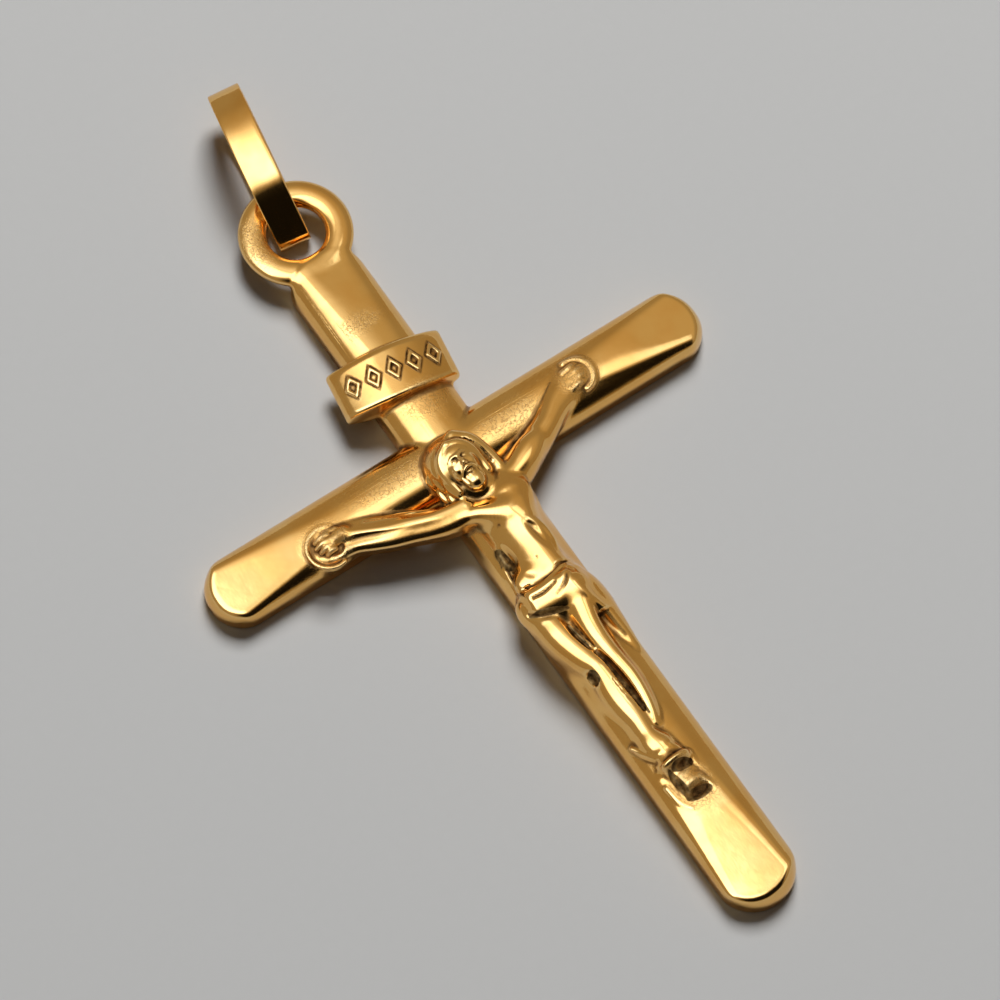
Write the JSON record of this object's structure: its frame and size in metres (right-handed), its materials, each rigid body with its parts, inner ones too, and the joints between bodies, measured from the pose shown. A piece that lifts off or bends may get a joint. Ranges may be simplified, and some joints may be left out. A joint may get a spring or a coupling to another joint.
{
  "type": "crucifix pendant",
  "caption": "Polished gold crucifix pendant with a flat back, a figure in raised relief, a title plate, a foot block, an eye and a separate flat strip bail.",
  "frame": {"origin": "centre of the crossing on the flat back", "axes": "+Y up the cross to the eye and the bail, +X to the right of the picture along the crossbar, +Z out of the front"},
  "size_m": [0.0252, 0.0446, 0.0033],
  "materials": {
    "cast_gold": "polished",
    "strip_gold": "polished"
  },
  "bodies": {
    "root": {"crucifix": "cast_gold", "bail": "strip_gold"}
  },
  "joints": []
}
